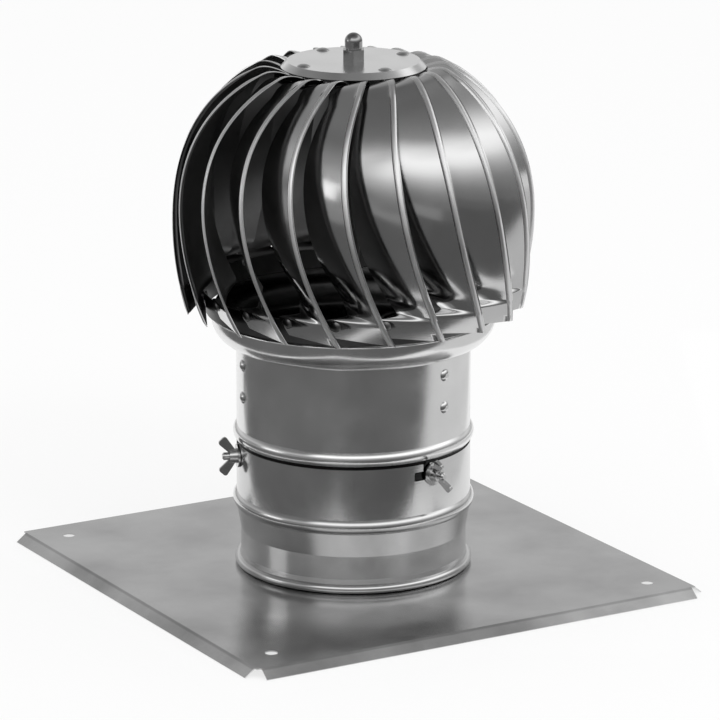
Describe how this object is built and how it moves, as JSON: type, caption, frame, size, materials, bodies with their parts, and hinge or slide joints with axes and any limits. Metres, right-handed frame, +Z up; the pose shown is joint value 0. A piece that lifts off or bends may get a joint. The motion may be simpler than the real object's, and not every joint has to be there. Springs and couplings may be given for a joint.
{
  "type": "rotating chimney cowl",
  "caption": "Turbine cowl for a round flue: square base plate, spigot, bayonet neck with wing-nut clamps and a spinning globe of overlapping ribbed blades.",
  "frame": {"origin": "on the cowl's axis, at the level that the plate's turned-down edges stand on", "axes": "+Z up along the flue and spindle axis, X and Y square to the base plate's sides"},
  "size_m": [0.332, 0.332, 0.3523],
  "materials": {
    "plate_steel": "semi-gloss rolled stainless sheet with faint cloudy marks",
    "tube_steel": "bright stainless sheet, fine rolling lines round the tube",
    "blade_steel": "mirror-bright stainless sheet with fine marks",
    "disc_steel": "bright stainless sheet",
    "fastener_steel": "polished stainless fasteners",
    "inner_steel": "plain stainless strip",
    "bearing_steel": "ground bearing steel"
  },
  "bodies": {
    "base": {"base_plate": "plate_steel", "base_spigot": "tube_steel"},
    "neck": {"neck_tube": "tube_steel", "bearing_arm_1": "inner_steel", "bearing_arm_2": "inner_steel", "bearing_arm_3": "inner_steel", "bearing_hub": "inner_steel", "bearing_outer_low": "bearing_steel", "bearing_outer_high": "bearing_steel", "tube_rivets": "fastener_steel", "clamp_bolts": "fastener_steel"},
    "head": {"spindle": "bearing_steel", "bearing_inner_low": "bearing_steel", "bearing_inner_high": "bearing_steel", "spacer_tube": "bearing_steel", "lock_nut_low": "fastener_steel", "lock_nut_high": "fastener_steel", "hub_plate_nut": "fastener_steel", "hub_plate": "disc_steel", "top_disc": "disc_steel", "top_rivets": "fastener_steel", "cap_nut": "fastener_steel", "blade_01": "blade_steel", "blade_02": "blade_steel", "blade_03": "blade_steel", "blade_04": "blade_steel", "blade_05": "blade_steel", "blade_06": "blade_steel", "blade_07": "blade_steel", "blade_08": "blade_steel", "blade_09": "blade_steel", "blade_10": "blade_steel", "blade_11": "blade_steel", "blade_12": "blade_steel", "blade_13": "blade_steel", "blade_14": "blade_steel", "blade_15": "blade_steel", "blade_16": "blade_steel", "blade_17": "blade_steel", "blade_18": "blade_steel", "blade_19": "blade_steel", "blade_20": "blade_steel", "bottom_ring": "blade_steel", "bottom_rivets": "fastener_steel"},
    "clamp_washer_1": {"washer_1": "fastener_steel"},
    "clamp_nut_1": {"wing_nut_1": "fastener_steel"},
    "clamp_washer_2": {"washer_2": "fastener_steel"},
    "clamp_nut_2": {"wing_nut_2": "fastener_steel"},
    "clamp_washer_3": {"washer_3": "fastener_steel"},
    "clamp_nut_3": {"wing_nut_3": "fastener_steel"}
  },
  "joints": [
    {"name": "neck_turn", "type": "hinge", "parent": "base", "child": "neck", "pos_m": [0, 0, 0.0802], "axis": [0, 0, 1], "range_deg": [-9, 0]},
    {"name": "head_spin", "type": "hinge", "parent": "neck", "child": "head", "pos_m": [0, 0, 0.132], "axis": [0, 0, 1], "continuous": true},
    {"name": "washer_1_slide", "type": "slide", "parent": "neck", "child": "clamp_washer_1", "axis": [0.7431, 0.6691, 0], "range_m": [0, 0.00161]},
    {"name": "wing_nut_1_turn", "type": "hinge", "parent": "clamp_washer_1", "child": "clamp_nut_1", "pos_m": [0.05611, 0.05052, 0.0802], "axis": [0.7431, 0.6691, 0], "range_deg": [0, 720]},
    {"name": "washer_2_slide", "type": "slide", "parent": "neck", "child": "clamp_washer_2", "axis": [-0.9511, 0.309, 0], "range_m": [0, 0.00161]},
    {"name": "wing_nut_2_turn", "type": "hinge", "parent": "clamp_washer_2", "child": "clamp_nut_2", "pos_m": [-0.0718, 0.02333, 0.0802], "axis": [-0.9511, 0.309, 0], "range_deg": [0, 720]},
    {"name": "washer_3_slide", "type": "slide", "parent": "neck", "child": "clamp_washer_3", "axis": [0.2079, -0.9781, 0], "range_m": [0, 0.00161]},
    {"name": "wing_nut_3_turn", "type": "hinge", "parent": "clamp_washer_3", "child": "clamp_nut_3", "pos_m": [0.0157, -0.07385, 0.0802], "axis": [0.2079, -0.9781, 0], "range_deg": [0, 720]}
  ],
  "couplings": [
    {"joint": "washer_1_slide", "follows": "wing_nut_1_turn", "m_per_rad": 0.00012732},
    {"joint": "washer_2_slide", "follows": "wing_nut_2_turn", "m_per_rad": 0.00012732},
    {"joint": "washer_3_slide", "follows": "wing_nut_3_turn", "m_per_rad": 0.00012732}
  ]
}
